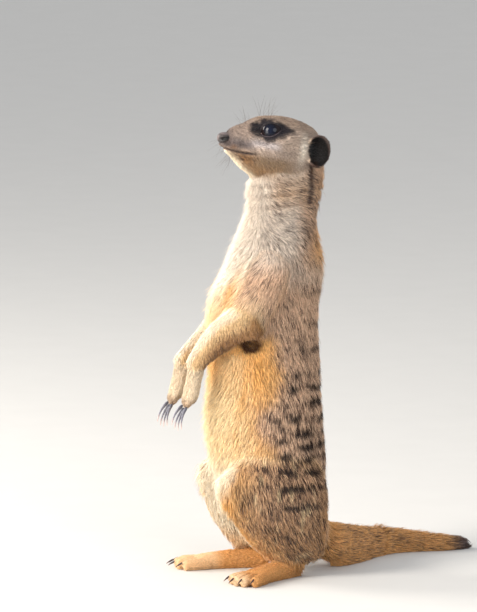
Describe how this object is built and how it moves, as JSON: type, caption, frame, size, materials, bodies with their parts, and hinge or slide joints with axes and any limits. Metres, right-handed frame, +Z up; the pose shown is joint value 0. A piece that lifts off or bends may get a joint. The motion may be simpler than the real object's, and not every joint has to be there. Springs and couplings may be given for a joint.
{
  "type": "meerkat",
  "caption": "Still, life-size meerkat standing guard on its hind feet, hands hanging at its chest and tail laid back along the floor.",
  "frame": {"origin": "on the floor, under the middle of the part's bounding box, which lies behind the feet because the tail reaches back", "axes": "+Z up, from the soles to the crown; -Y the way the nose and chest face; +X towards the animal's own left side"},
  "size_m": [0.1272, 0.2224, 0.3021],
  "materials": {
    "fur": "matt hair",
    "dark_skin": "satin",
    "eye": "wet gloss",
    "claw": "horn"
  },
  "bodies": {
    "root": {"belly": "fur", "chest": "fur", "ear_left": "dark_skin", "ear_right": "dark_skin", "eye_left": "eye", "eye_right": "eye", "foot_claw_left_1": "claw", "foot_claw_left_2": "claw", "foot_claw_left_3": "claw", "foot_claw_left_4": "claw", "foot_claw_right_1": "claw", "foot_claw_right_2": "claw", "foot_claw_right_3": "claw", "foot_claw_right_4": "claw", "foot_left": "fur", "foot_right": "fur", "forearm_left": "fur", "forearm_right": "fur", "hand_claw_left_1": "claw", "hand_claw_left_2": "claw", "hand_claw_left_3": "claw", "hand_claw_left_4": "claw", "hand_claw_right_1": "claw", "hand_claw_right_2": "claw", "hand_claw_right_3": "claw", "hand_claw_right_4": "claw", "hand_left": "fur", "hand_right": "fur", "head": "fur", "lower_jaw": "fur", "neck": "fur", "nose": "dark_skin", "shank_left": "fur", "shank_right": "fur", "tail_1": "fur", "tail_2": "fur", "tail_3": "fur", "thigh_left": "fur", "thigh_right": "fur", "upper_arm_left": "fur", "upper_arm_right": "fur"}
  },
  "joints": []
}
